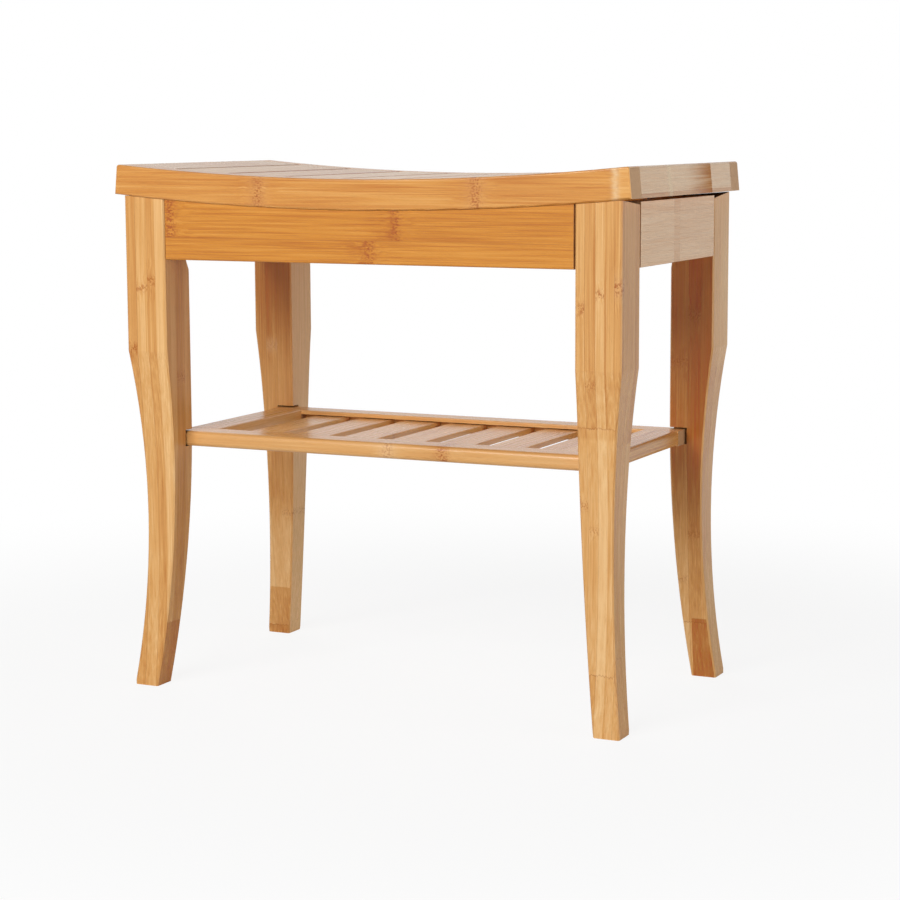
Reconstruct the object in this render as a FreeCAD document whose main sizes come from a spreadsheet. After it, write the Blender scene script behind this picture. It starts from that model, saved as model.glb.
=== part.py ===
"""Bamboo shower bench: dished slatted seat, four sabre legs, aprons and a slatted shelf.

Frame: millimetres, +Z up, X along the seat, the front at -Y, the origin on the floor under the
middle of the seat. Every size is a cell of the sheet, and formulas name those cells.
"""
import FreeCAD, Part
import math
import os
import re
import Sketcher
from FreeCAD import Placement, Rotation, Vector

SIZES = {
    # Seat: an arc along X, cut off square to the arc at both ends
    "seat_height": 450,
    "seat_length": 464,
    "seat_depth": 257,
    "seat_radius": 2420,
    "rail_height": 25,
    "rail_thick": 22,
    "rail_round": 1.5,
    "end_rail_width": 44,
    "seat_end_round": 2.2,
    "end_tenon_width": 26,
    "end_tenon_thick": 10,
    "seat_slat_count": 7,
    "seat_slat_gap": 2.6,
    "seat_slat_thick": 12,
    "seat_slat_round": 1,
    "seat_tenon_width": 36,
    "seat_tenon_thick": 6,
    "seat_tenon_length": 10,
    # Legs: a square post, hollowed outside from the knee to the foot, tapered inside below the bend
    "leg_inset_long": 6,
    "leg_inset_deep": 2,
    "leg_size": 39,
    "leg_ease": 1.2,
    "leg_top_gap": 0.3,
    "leg_top_fall": 4.4,
    "knee_height": 292,
    "hollow_depth": 9.8,
    "foot_land": 4,
    "bend_height": 235,
    "foot_size": 22.4,
    # Aprons
    "apron_height": 50.5,
    "apron_thick": 18,
    "apron_round": 1.5,
    "apron_gap": 1.2,
    "side_apron_rise": 1,
    # Shelf
    "shelf_height": 221,
    "shelf_inset_long": 25,
    "shelf_inset_deep": 29.5,
    "shelf_thick": 13,
    "shelf_nose": 4,
    "shelf_edge": 1,
    "shelf_rail_width": 25,
    "shelf_end_width": 32,
    "shelf_slat_count": 7,
    "shelf_slat_width": 32.5,
    "shelf_slat_thick": 4.4,
    "shelf_slat_drop": 4.5,
    "shelf_slat_round": 1,
    "shelf_groove_depth": 9,
    "shelf_groove_play": 0.9,
    "shelf_tenon_width": 24,
    "shelf_tenon_thick": 5,
    "shelf_tenon_length": 9,
    # Corner braces, their bolts, and the loose tenons under the seat
    "brace_flat": 6,
    "brace_runout": 12,
    "brace_drop": 1,
    "brace_thick": 15,
    "brace_height": 40,
    "tongue_thick": 8,
    "tongue_depth": 6,
    "bolt_diameter": 8,
    "bolt_in_leg": 30,
    "bolt_point": 5,
    "bolt_past_nut": 4,
    "washer_diameter": 20,
    "washer_thick": 1.6,
    "nut_width": 13,
    "nut_thick": 6.5,
    "key_width": 30,
    "key_thick": 8,
    "key_spacing": 120,
    "key_in_apron": 14,
    "key_in_rail": 10,
    # Clearances
    "glue_gap": 0.15,
    "tenon_play": 0.15,
    "tenon_end_play": 1,
    "notch_play": 2,
    "notch_headroom": 1.2,
    "hole_play": 0.15,
    "bolt_play": 0.5,
    "cut_margin": 1,
}

# Corner name: side of X, side of Y, turn about Z that brings the front left corner there
CORNERS = {
    "front_left": (-1, -1, 0),
    "front_right": (1, -1, 90),
    "back_right": (1, 1, 180),
    "back_left": (-1, 1, 270),
}
SLIGHT = 1e-6
ALONG_X = Vector(1, 0, 0)
ALONG_Y = Vector(0, 1, 0)
KEY_ROW = (-1, 0, 1)

# Formulas that several pieces share
ARC_CENTRE = "(seat_height + sqrt(seat_radius^2 - (seat_length/2)^2))"
UNDER_RADIUS = "(seat_radius + rail_height)"
INNER_DEPTH = "(seat_depth - 2*rail_thick)"
END_ANGLE = "asin(seat_length/2/seat_radius)"
FIELD_ANGLE = "asin((seat_length/2 - end_rail_width)/seat_radius)"
END_RAIL_ANGLE = f"({END_ANGLE} - {FIELD_ANGLE})"
END_RAIL_TURN = f"(({END_ANGLE} + {FIELD_ANGLE})/2)"
GAP_ANGLE = "asin(seat_slat_gap/seat_radius)"
SLAT_ANGLE = f"((2*{FIELD_ANGLE} - (seat_slat_count + 1)*{GAP_ANGLE})/seat_slat_count)"
SLAT_PITCH = f"({SLAT_ANGLE} + {GAP_ANGLE})"
LEG_LONG = "(seat_length/2 - leg_inset_long)"
LEG_DEEP = "(seat_depth/2 - leg_inset_deep)"
LEG_INNER = f"({LEG_LONG} - leg_size)"
LEG_TOP = f"({ARC_CENTRE} - sqrt({UNDER_RADIUS}^2 - {LEG_INNER}^2) - glue_gap)"
LEG_PEAK = f"({ARC_CENTRE} - sqrt({UNDER_RADIUS}^2 - {LEG_LONG}^2) - leg_top_gap)"
SIDE_TOP = f"({LEG_TOP} + side_apron_rise)"
APRON_BOTTOM = f"({LEG_TOP} - apron_height)"
BRACE_LINE = "(2*leg_size - brace_flat)"
BRACE_SPREAD = "(brace_thick*sqrt(2))"
BRACE_MIDDLE = f"({LEG_TOP} - apron_height/2)"
TONGUE_PLACE = f"({BRACE_LINE} - apron_thick + {BRACE_SPREAD}/2)"
HOLLOW_HALF = "((knee_height - foot_land)/2)"
HOLLOW_RADIUS = f"(({HOLLOW_HALF}^2 + hollow_depth^2)/(2*hollow_depth))"
SIDE_INNER = f"({LEG_DEEP} - leg_size)"
KEY_LOW = f"({ARC_CENTRE} - {UNDER_RADIUS} - key_in_apron)"
KEY_HIGH = f"({ARC_CENTRE} - sqrt({UNDER_RADIUS}^2 - key_spacing^2) + key_in_rail)"
SHELF_LONG = f"({LEG_LONG} - shelf_inset_long)"
SHELF_DEEP = f"({LEG_DEEP} - shelf_inset_deep)"
SHELF_FIELD = f"(2*({SHELF_LONG} - shelf_end_width))"
SHELF_GAP = f"(({SHELF_FIELD} - shelf_slat_count*shelf_slat_width)/(shelf_slat_count + 1))"
SHELF_PITCH = f"(shelf_slat_width + {SHELF_GAP})"
SHELF_INNER = f"(2*({SHELF_DEEP} - shelf_rail_width))"

doc = FreeCAD.newDocument("bamboo_shower_bench")
sheet = doc.addObject("Spreadsheet::Sheet", "Sizes")
for row, (alias, value) in enumerate(SIZES.items(), start=1):
    sheet.set(f"A{row}", alias)
    sheet.set(f"B{row}", str(value))
    sheet.setAlias(f"B{row}", alias)
doc.recompute()

subparts = []


def cells(formula):
    """Point every size named in a formula at its cell of the sheet."""
    return re.sub(r"[a-z]+(?:_[a-z]+)+", r"Sizes.\g<0>", formula)


def new_body(name, base=("0", "0", "0"), axis=Vector(0, 0, 1), turn=None, angle=0):
    """A body with its place bound to formulas; turn is a formula, angle a fixed number."""
    body = doc.addObject("PartDesign::Body", name)
    body.Label = name
    body.Placement = Placement(Vector(), Rotation(axis, angle or 1))
    for letter, formula in zip("xyz", base):
        body.setExpression(f"Placement.Base.{letter}", cells(formula))
    body.setExpression("Placement.Rotation.Angle", cells(turn or f"{angle}*1 deg"))
    return body


def origin_of(body, role):
    return next(item for item in body.Origin.OriginFeatures if item.Role == role)


def new_sketch(body, name, plane, lift="0"):
    """A sketch on one of the body's own planes, lifted along that plane's normal."""
    sketch = body.newObject("Sketcher::SketchObject", name)
    sketch.AttachmentSupport = (origin_of(body, plane), [""])
    sketch.MapMode = "FlatFace"
    sketch.setExpression("AttachmentOffset.Base.z", cells(lift))
    return sketch


def bind(sketch, kind, places, start, formula):
    index = sketch.addConstraint(Sketcher.Constraint(kind, *places, start))
    sketch.setExpression(f"Constraints[{index}]", cells(formula))


def place_point(sketch, piece, end, point, across, up):
    """Hold a point of the sketch at two formulas, measured from the sketch's origin."""
    bind(sketch, "DistanceX", (-1, 1, piece, end), point.x, across)
    bind(sketch, "DistanceY", (-1, 1, piece, end), point.y, up)


def draw_polygon(sketch, corners):
    """A closed outline through corners given as pairs of formulas, counter-clockwise."""
    count = len(corners)
    turn = 2*math.pi/count
    points = [Vector(math.cos(turn*step), math.sin(turn*step), 0) for step in range(count)]
    first = sketch.GeometryCount
    for step in range(count):
        sketch.addGeometry(Part.LineSegment(points[step], points[(step + 1) % count]))
    for step in range(count):
        following = first + (step + 1) % count
        sketch.addConstraint(Sketcher.Constraint("Coincident", first + step, 2, following, 1))
    for step, (across, up) in enumerate(corners):
        place_point(sketch, first + step, 1, points[step], across, up)


def draw_box(sketch, left, right, low, high):
    draw_polygon(sketch, [(right, high), (left, high), (left, low), (right, low)])


def draw_rounded(sketch, left, right, low, high, radii):
    """A box with round corners; radii run from the lower left, counter-clockwise."""
    start = 20
    guess = 1
    quarter = math.pi/2
    signs = ((-1, -1), (1, -1), (1, 1), (-1, 1))
    centres = [Vector(across*start, up*start, 0) for across, up in signs]
    for step, centre in enumerate(centres):
        circle = Part.Circle(centre, Vector(0, 0, 1), guess)
        begin = math.pi + step*quarter
        sketch.addGeometry(Part.ArcOfCircle(circle, begin, begin + quarter))
    for step in range(4):
        following = (step + 1) % 4
        tail = sketch.Geometry[step].EndPoint
        head = sketch.Geometry[following].StartPoint
        line = sketch.addGeometry(Part.LineSegment(tail, head))
        sketch.addConstraint(Sketcher.Constraint("Tangent", step, 2, line, 1))
        sketch.addConstraint(Sketcher.Constraint("Tangent", line, 2, following, 1))
    for step, (across, up) in enumerate(signs):
        radius = radii[step]
        bind(sketch, "Radius", (step,), guess, radius)
        side = f"{left} + {radius}" if across < 0 else f"{right} - {radius}"
        level = f"{low} + {radius}" if up < 0 else f"{high} - {radius}"
        place_point(sketch, step, 3, centres[step], side, level)


def draw_circle(sketch, across, up, diameter):
    centre = Vector(1, 1, 0)
    piece = sketch.addGeometry(Part.Circle(centre, Vector(0, 0, 1), 1))
    place_point(sketch, piece, 3, centre, across, up)
    bind(sketch, "Radius", (piece,), 1, f"{diameter}/2")


def extrude(body, kind, sketch, length=None, reverse=False, both_ways=False):
    """A pad or a pocket of a sketch; a pocket without a length goes through everything."""
    feature = body.newObject(f"PartDesign::{kind}", f"{sketch.Name}_{kind.lower()}")
    feature.Profile = sketch
    feature.SideType = "Symmetric" if both_ways else "One side"
    feature.Reversed = reverse
    if length is None:
        feature.Type = "ThroughAll"
    else:
        feature.setExpression("Length", cells(length))
    sketch.Visibility = False
    return feature


def revolve(body, sketch, role, angle):
    """Turn a sketch about one of the body's axes, half the angle to each side."""
    feature = body.newObject("PartDesign::Revolution", f"{sketch.Name}_turned")
    feature.Profile = sketch
    feature.ReferenceAxis = (origin_of(body, role), [""])
    feature.Midplane = True
    feature.setExpression("Angle", cells(angle))
    return feature


def loft(body, kind, sketches):
    feature = body.newObject(f"PartDesign::{kind}Loft", f"{sketches[0].Name}_loft")
    feature.Profile = sketches[0]
    feature.Sections = sketches[1:]
    return feature


def dress_edges(body, kind, size, wanted):
    """Fillet or chamfer the edges that a test picks out, given an edge and the body's box so far."""
    doc.recompute()
    tip = body.Tip
    edges = tip.Shape.Edges
    box = tip.Shape.BoundBox
    names = [f"Edge{number}" for number, edge in enumerate(edges, start=1) if wanted(edge, box)]
    feature = body.newObject(f"PartDesign::{kind}", f"{body.Name}_{size}")
    feature.Base = (tip, names)
    feature.setExpression("Radius" if kind == "Fillet" else "Size", cells(size))
    body.Tip = feature


def spans(edge, axis):
    """True for a straight edge along an axis."""
    return isinstance(edge.Curve, Part.Line) and abs(edge.Curve.Direction.dot(axis)) > 1 - SLIGHT


def low_in(edge, box):
    """True for an edge at the bottom of a box."""
    return abs(edge.CenterOfMass.z - box.ZMin) < SLIGHT


def upper_edge(edge, box):
    """True for an edge along Y at the top of its piece."""
    return spans(edge, ALONG_Y) and abs(edge.CenterOfMass.z - box.ZMax) < SLIGHT


def outer_edge(edge, box):
    """True for an edge of a seat rail's outer face."""
    return edge.BoundBox.YMax - box.YMin < SLIGHT


def repeat(body, kind, feature, role, extent, count, reverse=False):
    """A linear or polar pattern of one feature, as the body's new tip."""
    pattern = body.newObject(f"PartDesign::{kind}Pattern", f"{feature.Name}_pattern")
    pattern.Originals = [feature]
    setattr(pattern, "Axis" if kind == "Polar" else "Direction", (origin_of(body, role), [""]))
    pattern.setExpression("Angle" if kind == "Polar" else "Length", cells(extent))
    pattern.setExpression("Occurrences", cells(count))
    pattern.Reversed = reverse
    body.Tip = pattern


def at_corner(corner, along, across):
    """Formulas in X and Y of a point given in a corner's own frame, outer corner at zero."""
    side, face, turn = CORNERS[corner]
    cosine = round(math.cos(math.radians(turn)))
    sine = round(math.sin(math.radians(turn)))
    place_x = f"{side}*{LEG_LONG} + {cosine}*({along}) - {sine}*({across})"
    place_y = f"{face}*{LEG_DEEP} + {sine}*({along}) + {cosine}*({across})"
    return place_x, place_y


def corner_body(name, corner):
    """A body in a corner's own frame: x and y run inward from the leg's outer faces."""
    return new_body(name, (*at_corner(corner, "0", "0"), "0"), angle=CORNERS[corner][2])


def diagonal_sketch(body, name, reach):
    """A sketch square to the corner's diagonal, at a distance inward from the outer corner."""
    sketch = new_sketch(body, name, "XZ_Plane")
    sketch.AttachmentOffset = Placement(Vector(), Rotation(Vector(0, 1, 0), 135))
    sketch.setExpression("AttachmentOffset.Base.x", cells(f"({reach})/sqrt(2)"))
    sketch.setExpression("AttachmentOffset.Base.z", cells(f"-({reach})/sqrt(2)"))
    return sketch


def draw_taper(sketch):
    """What a leg's inner face loses below the bend: an arc that leaves the face without a kink."""
    face = sheet.leg_size
    bend = sheet.bend_height
    toe = sheet.foot_size
    margin = sheet.cut_margin
    corners = [
        (Vector(face, bend, 0), "leg_size", "bend_height"),
        (Vector(face + margin, bend, 0), "leg_size + cut_margin", "bend_height"),
        (Vector(face + margin, -margin, 0), "leg_size + cut_margin", "-cut_margin"),
        (Vector(toe, -margin, 0), "foot_size", "-cut_margin"),
        (Vector(toe, 0, 0), "foot_size", "0"),
    ]
    points = [point for point, across, up in corners]
    halfway = Vector(face - (face - toe)/4, bend/2, 0)
    arc = sketch.addGeometry(Part.Arc(points[-1], halfway, points[0]))
    previous, end = arc, 2
    for tail, head in zip(points, points[1:]):
        line = sketch.addGeometry(Part.LineSegment(tail, head))
        sketch.addConstraint(Sketcher.Constraint("Coincident", previous, end, line, 1))
        previous, end = line, 2
    sketch.addConstraint(Sketcher.Constraint("Coincident", previous, end, arc, 1))
    for line, (point, across, up) in enumerate(corners[:-1], start=arc + 1):
        place_point(sketch, line, 1, point, across, up)
    place_point(sketch, previous, end, *corners[-1])
    bind(sketch, "DistanceY", (-1, 1, arc, 3), bend, "bend_height")


def brace_triangle(sketch, flat):
    """The part of a leg's inner corner that a flat across it cuts off."""
    near = f"leg_size - {flat} - cut_margin"
    far = "leg_size + cut_margin"
    draw_polygon(sketch, [(far, near), (far, far), (near, far)])


def make_leg(corner):
    """A leg sawn from a square post: the same two curves cut through it from both outer faces,
    and a top that falls away inward from its outer corner, under the seat's arc."""
    body = corner_body(f"leg_{corner}", corner)
    post = new_sketch(body, f"leg_{corner}_post", "XY_Plane")
    draw_box(post, "0", "leg_size", "0", "leg_size")
    extrude(body, "Pad", post, LEG_PEAK)
    for plane in ("XZ_Plane", "YZ_Plane"):
        turned = plane == "YZ_Plane"
        hollow = new_sketch(body, f"leg_{corner}_hollow_{plane[0]}", plane)
        draw_circle(hollow, f"hollow_depth - {HOLLOW_RADIUS}", f"foot_land + {HOLLOW_HALF}",
                    f"(2*{HOLLOW_RADIUS})")
        extrude(body, "Pocket", hollow, reverse=turned)
        taper = new_sketch(body, f"leg_{corner}_taper_{plane[0]}", plane)
        draw_taper(taper)
        extrude(body, "Pocket", taper, reverse=turned)
    dress_edges(body, "Chamfer", "leg_ease", lambda edge, box: edge.BoundBox.ZLength > SLIGHT)
    crosswise = CORNERS[corner][2] % 180 == 90
    tops = [LEG_TOP, f"{LEG_PEAK} - leg_top_fall"]
    if crosswise:
        tops.reverse()
    for plane, inner_top in zip(("XZ_Plane", "YZ_Plane"), tops):
        slope = new_sketch(body, f"leg_{corner}_slope_{plane[0]}", plane)
        draw_polygon(slope, [("0", LEG_PEAK), ("leg_size", inner_top), ("leg_size", LEG_PEAK)])
        extrude(body, "Pocket", slope, reverse=plane == "YZ_Plane")
    flat_end = f"({APRON_BOTTOM} - brace_drop)"
    flat = new_sketch(body, f"leg_{corner}_flat", "XY_Plane", flat_end)
    brace_triangle(flat, "brace_flat")
    extrude(body, "Pocket", flat, reverse=True)
    point = new_sketch(body, f"leg_{corner}_runout", "XY_Plane", f"{flat_end} - brace_runout")
    brace_triangle(point, "0")
    loft(body, "Subtractive", [flat, point])
    floor = "shelf_height - shelf_thick"
    notch = new_sketch(body, f"leg_{corner}_notch", "XY_Plane", floor)
    long_floor = "shelf_inset_long - notch_play"
    deep_floor = "shelf_inset_deep - notch_play"
    across, up = (deep_floor, long_floor) if crosswise else (long_floor, deep_floor)
    far = "leg_size + cut_margin"
    draw_box(notch, across, far, up, far)
    extrude(body, "Pocket", notch, "shelf_thick + notch_headroom", reverse=True)
    reach = f"{BRACE_LINE}/sqrt(2) - bolt_in_leg"
    hole = diagonal_sketch(body, f"leg_{corner}_bolt", reach)
    draw_circle(hole, "0", BRACE_MIDDLE, "(bolt_diameter + 2*hole_play)")
    extrude(body, "Pocket", hole, reverse=True)
    return body


def make_brace(corner):
    """A block across a corner, with a tongue at both ends for the grooves of the aprons."""
    body = corner_body(f"corner_brace_{corner}", corner)
    plan = new_sketch(body, f"brace_{corner}_plan", "XY_Plane", f"{BRACE_MIDDLE} - brace_height/2")
    short = f"{BRACE_LINE} - apron_thick"
    long = f"{BRACE_LINE} + {BRACE_SPREAD} - apron_thick"
    near = f"{TONGUE_PLACE} - tongue_thick/2"
    far = f"{TONGUE_PLACE} + tongue_thick/2"
    tip = "apron_thick - tongue_depth"
    half = [(short, "apron_thick"), (near, "apron_thick"), (near, tip),
            (far, tip), (far, "apron_thick"), (long, "apron_thick")]
    draw_polygon(plan, half + [(up, across) for across, up in reversed(half)])
    extrude(body, "Pad", plan, "brace_height")
    hole = diagonal_sketch(body, f"brace_{corner}_bolt", "0")
    draw_circle(hole, "0", BRACE_MIDDLE, "(bolt_diameter + 2*bolt_play)")
    extrude(body, "Pocket", hole, reverse=True)
    return body


def make_apron(name, place, angle, inner, top):
    """An apron between two legs, grooved for the braces: its outer face at zero, thick inward."""
    body = new_body(name, place, angle=angle)
    half_length = f"({inner} - apron_gap)"
    front = new_sketch(body, f"{name}_front", "XZ_Plane")
    draw_box(front, f"-{half_length}", half_length, APRON_BOTTOM, top)
    extrude(body, "Pad", front, "apron_thick", reverse=True)
    dress_edges(body, "Fillet", "apron_round",
                lambda edge, box: spans(edge, ALONG_X) and low_in(edge, box))
    grooves = new_sketch(body, f"{name}_grooves", "XY_Plane")
    middle = f"({inner} + leg_size - {TONGUE_PLACE})"
    half = "(tongue_thick/2 + tenon_play)"
    floor = "apron_thick - tongue_depth - tenon_end_play"
    for side in ("-", ""):
        draw_box(grooves, f"{side}{middle} - {half}", f"{side}{middle} + {half}", floor,
                 "apron_thick + cut_margin")
    extrude(body, "Pocket", grooves, reverse=True)
    return body


def draw_keys(sketch, middle):
    """The mortises of the loose tenons between a long apron and its seat rail."""
    half = "(key_width/2 + tenon_play)"
    thick = "(key_thick/2 + tenon_play)"
    for number in KEY_ROW:
        place = f"{number}*key_spacing"
        draw_box(sketch, f"{place} - {half}", f"{place} + {half}", f"{middle} - {thick}",
                 f"{middle} + {thick}")


def make_long_apron(name, face, angle):
    """A front or back apron, its top hollowed to the seat's underside and mortised under it."""
    place = ("0", f"{face}*{LEG_DEEP}", "0")
    body = make_apron(name, place, angle, LEG_INNER, LEG_TOP)
    arc = new_sketch(body, f"{name}_arc", "XZ_Plane")
    draw_circle(arc, "0", ARC_CENTRE, f"(2*({UNDER_RADIUS} + glue_gap))")
    extrude(body, "Pocket", arc)
    keys = new_sketch(body, f"{name}_keys", "XY_Plane", KEY_LOW)
    draw_keys(keys, "apron_thick/2")
    extrude(body, "Pocket", keys, reverse=True)
    return body


def make_seat_rail(name, face, angle):
    """A rail along the seat's arc, with mortises for the slats and the end rails."""
    body = new_body(name, ("0", f"{face}*seat_depth/2", ARC_CENTRE), angle=angle)
    section = new_sketch(body, f"{name}_section", "YZ_Plane")
    draw_box(section, "0", "rail_thick", f"-{UNDER_RADIUS}", "-seat_radius")
    revolve(body, section, "Y_Axis", f"2*{END_ANGLE}")
    dress_edges(body, "Fillet", "seat_end_round", upper_edge)
    dress_edges(body, "Fillet", "rail_round", outer_edge)
    middle = "-(seat_radius + seat_slat_thick/2)"
    mortises = (
        ("slat", f"(seat_slat_count - 1)*{SLAT_PITCH}", "seat_slat_count",
         "seat_tenon_width", "seat_tenon_thick", middle),
        ("end", f"2*{END_RAIL_TURN}", "2",
         "end_tenon_width", "end_tenon_thick", "-(seat_radius + rail_height/2)"),
    )
    for word, extent, count, width, thick, level in mortises:
        mortise = new_sketch(body, f"{name}_{word}_mortise", "XZ_Plane", "-rail_thick")
        mortise.AttachmentOffset = Placement(Vector(), Rotation(Vector(0, 0, 1), 1))
        mortise.setExpression("AttachmentOffset.Rotation.Angle", cells(f"-({extent})/2"))
        half = f"({width}/2 + tenon_play)"
        rise = f"({thick}/2 + tenon_play)"
        draw_box(mortise, f"-{half}", half, f"{level} - {rise}", f"{level} + {rise}")
        depth = "seat_tenon_length + tenon_end_play"
        pocket = extrude(body, "Pocket", mortise, depth, reverse=True)
        repeat(body, "Polar", pocket, "Y_Axis", extent, count, reverse=True)
    keys = new_sketch(body, f"{name}_keys", "XY_Plane", f"{KEY_HIGH} + tenon_end_play - {ARC_CENTRE}")
    draw_keys(keys, "(leg_inset_deep + apron_thick/2)")
    extrude(body, "Pocket", keys)
    return body


def make_seat_bar(name, turn, angle, thick, tenon):
    """A slat or end rail across the seat: a short piece of the arc with a tenon at both ends."""
    width, rise = tenon
    body = new_body(name, ("0", "0", ARC_CENTRE), axis=Vector(0, 1, 0), turn=turn)
    section = new_sketch(body, f"{name}_section", "YZ_Plane")
    half = f"({INNER_DEPTH}/2)"
    draw_box(section, f"-{half}", half, f"-(seat_radius + {thick})", "-seat_radius")
    revolve(body, section, "Y_Axis", angle)
    tongue = new_sketch(body, f"{name}_tenon", "XZ_Plane")
    level = f"-(seat_radius + {thick}/2)"
    draw_box(tongue, f"-{width}/2", f"{width}/2", f"{level} - {rise}/2", f"{level} + {rise}/2")
    extrude(body, "Pad", tongue, f"{INNER_DEPTH} + 2*seat_tenon_length", both_ways=True)
    return body


def make_seat_slat(number):
    turn = f"({number} - (seat_slat_count - 1)/2)*{SLAT_PITCH}"
    tenon = ("seat_tenon_width", "seat_tenon_thick")
    body = make_seat_bar(f"seat_slat_{number + 1}", turn, SLAT_ANGLE, "seat_slat_thick", tenon)
    dress_edges(body, "Fillet", "seat_slat_round", upper_edge)
    return body


def make_end_rail(name, side):
    tenon = ("end_tenon_width", "end_tenon_thick")
    turn = f"{-side}*{END_RAIL_TURN}"
    body = make_seat_bar(name, turn, END_RAIL_ANGLE, "rail_height", tenon)
    dress_edges(body, "Fillet", "seat_end_round",
                lambda edge, box: upper_edge(edge, box) and edge.CenterOfMass.x*side > 0)
    return body


def make_shelf_rail(name, face, angle):
    """A long rail of the shelf: a round nose outward, and inside a groove for the slats between
    the mortises of the short rails."""
    body = new_body(name, ("0", f"{face}*{SHELF_DEEP}", "shelf_height"), angle=angle)
    section = new_sketch(body, f"{name}_section", "YZ_Plane")
    draw_rounded(section, "0", "shelf_rail_width", "-shelf_thick", "0",
                 ["shelf_nose", "shelf_edge", "shelf_edge", "shelf_nose"])
    extrude(body, "Pad", section, f"2*{SHELF_LONG}", both_ways=True)
    groove = new_sketch(body, f"{name}_groove", "XZ_Plane", "-shelf_rail_width")
    field = f"{SHELF_FIELD}/2"
    slat_floor = "-(shelf_slat_drop + shelf_slat_thick)"
    draw_box(groove, f"-{field}", field, slat_floor, "shelf_groove_play - shelf_slat_drop")
    extrude(body, "Pocket", groove, "shelf_groove_depth", reverse=True)
    mortise = new_sketch(body, f"{name}_mortise", "XZ_Plane", "-shelf_rail_width")
    end_place = f"(2*{SHELF_LONG} - shelf_end_width)"
    half = "(shelf_tenon_width/2 + tenon_play)"
    high = "(shelf_tenon_thick/2 + tenon_play)"
    draw_box(mortise, f"-{end_place}/2 - {half}", f"{half} - {end_place}/2",
             f"-shelf_thick/2 - {high}", f"{high} - shelf_thick/2")
    pocket = extrude(body, "Pocket", mortise, "shelf_tenon_length + tenon_end_play", reverse=True)
    repeat(body, "Linear", pocket, "X_Axis", end_place, "2")
    return body


def make_shelf_end(name, side, angle):
    """A short rail of the shelf: its round nose outward, tenoned into the long rails."""
    place = (f"{side}*({SHELF_LONG} - shelf_end_width/2)", "0", "shelf_height")
    body = new_body(name, place, angle=angle)
    section = new_sketch(body, f"{name}_section", "XZ_Plane")
    half = "shelf_end_width/2"
    draw_rounded(section, f"-{half}", half, "-shelf_thick", "0",
                 ["shelf_edge", "shelf_nose", "shelf_nose", "shelf_edge"])
    extrude(body, "Pad", section, SHELF_INNER, both_ways=True)
    tenon = new_sketch(body, f"{name}_tenon", "XZ_Plane")
    half = "shelf_tenon_width/2"
    high = "shelf_tenon_thick/2"
    draw_box(tenon, f"-{half}", half, f"-shelf_thick/2 - {high}", f"{high} - shelf_thick/2")
    extrude(body, "Pad", tenon, f"{SHELF_INNER} + 2*shelf_tenon_length", both_ways=True)
    return body


def make_shelf_slat(number):
    """A thin slat that lies in the grooves of the long rails, short of the grooves' backs."""
    name = f"shelf_slat_{number + 1}"
    place = (f"({number} - (shelf_slat_count - 1)/2)*{SHELF_PITCH}", "0", "shelf_height")
    body = new_body(name, place)
    section = new_sketch(body, f"{name}_section", "XZ_Plane")
    half = "shelf_slat_width/2"
    low = "-(shelf_slat_drop + shelf_slat_thick)"
    draw_box(section, f"-{half}", half, low, "-shelf_slat_drop")
    length = f"{SHELF_INNER} + 2*(shelf_groove_depth - tenon_end_play)"
    extrude(body, "Pad", section, length, both_ways=True)
    dress_edges(body, "Fillet", "shelf_slat_round", upper_edge)
    return body


def turned_piece(name, base, outline, axis=Vector(0, 0, 1), angle=0):
    """A fastener turned about its own axis, Z, from pairs of radius and height."""
    body = new_body(name, base, axis=axis, angle=angle)
    sketch = new_sketch(body, f"{name}_outline", "XZ_Plane")
    draw_polygon(sketch, outline)
    revolve(body, sketch, "Z_Axis", "360*1 deg")
    return body


def group(name, bodies):
    """One sub-part of several like solids."""
    compound = doc.addObject("Part::Compound", name)
    compound.Label = name
    compound.Links = bodies
    return compound


def diagonal_place(corner, reach):
    """A place on the bolt line of a corner, at a distance inward from the outer corner."""
    return (*at_corner(corner, f"{reach}/sqrt(2)", f"{reach}/sqrt(2)"), BRACE_MIDDLE)


def diagonal_turn(corner):
    """The turn that lays Z along the corner's diagonal, inward."""
    heading = math.radians(CORNERS[corner][2] + 45)
    return Vector(-math.sin(heading), math.cos(heading), 0), 90


def make_bolt(corner):
    reach = f"({BRACE_LINE}/sqrt(2) - bolt_in_leg)"
    axis, angle = diagonal_turn(corner)
    radius = "bolt_diameter/2"
    length = "(bolt_in_leg + brace_thick + washer_thick + nut_thick + bolt_past_nut)"
    outline = [("0", "0"), (radius, "bolt_point"), (radius, length), ("0", length)]
    return turned_piece(f"bolt_{corner}", diagonal_place(corner, reach), outline, axis, angle)


def make_washer(corner):
    reach = f"({BRACE_LINE}/sqrt(2) + brace_thick)"
    axis, angle = diagonal_turn(corner)
    bore = "bolt_diameter/2 + hole_play"
    rim = "washer_diameter/2"
    outline = [(bore, "0"), (rim, "0"), (rim, "washer_thick"), (bore, "washer_thick")]
    return turned_piece(f"washer_{corner}", diagonal_place(corner, reach), outline, axis, angle)


def make_nut(corner):
    reach = f"({BRACE_LINE}/sqrt(2) + brace_thick + washer_thick)"
    axis, angle = diagonal_turn(corner)
    body = new_body(f"nut_{corner}", diagonal_place(corner, reach), axis=axis, angle=angle)
    sketch = new_sketch(body, f"nut_{corner}_outline", "XY_Plane")
    corners = [(f"nut_width/sqrt(3)*cos({60*step})", f"nut_width/sqrt(3)*sin({60*step})")
               for step in range(6)]
    draw_polygon(sketch, corners)
    draw_circle(sketch, "0", "0", "(bolt_diameter + 2*hole_play)")
    extrude(body, "Pad", sketch, "nut_thick")
    return body


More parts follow.
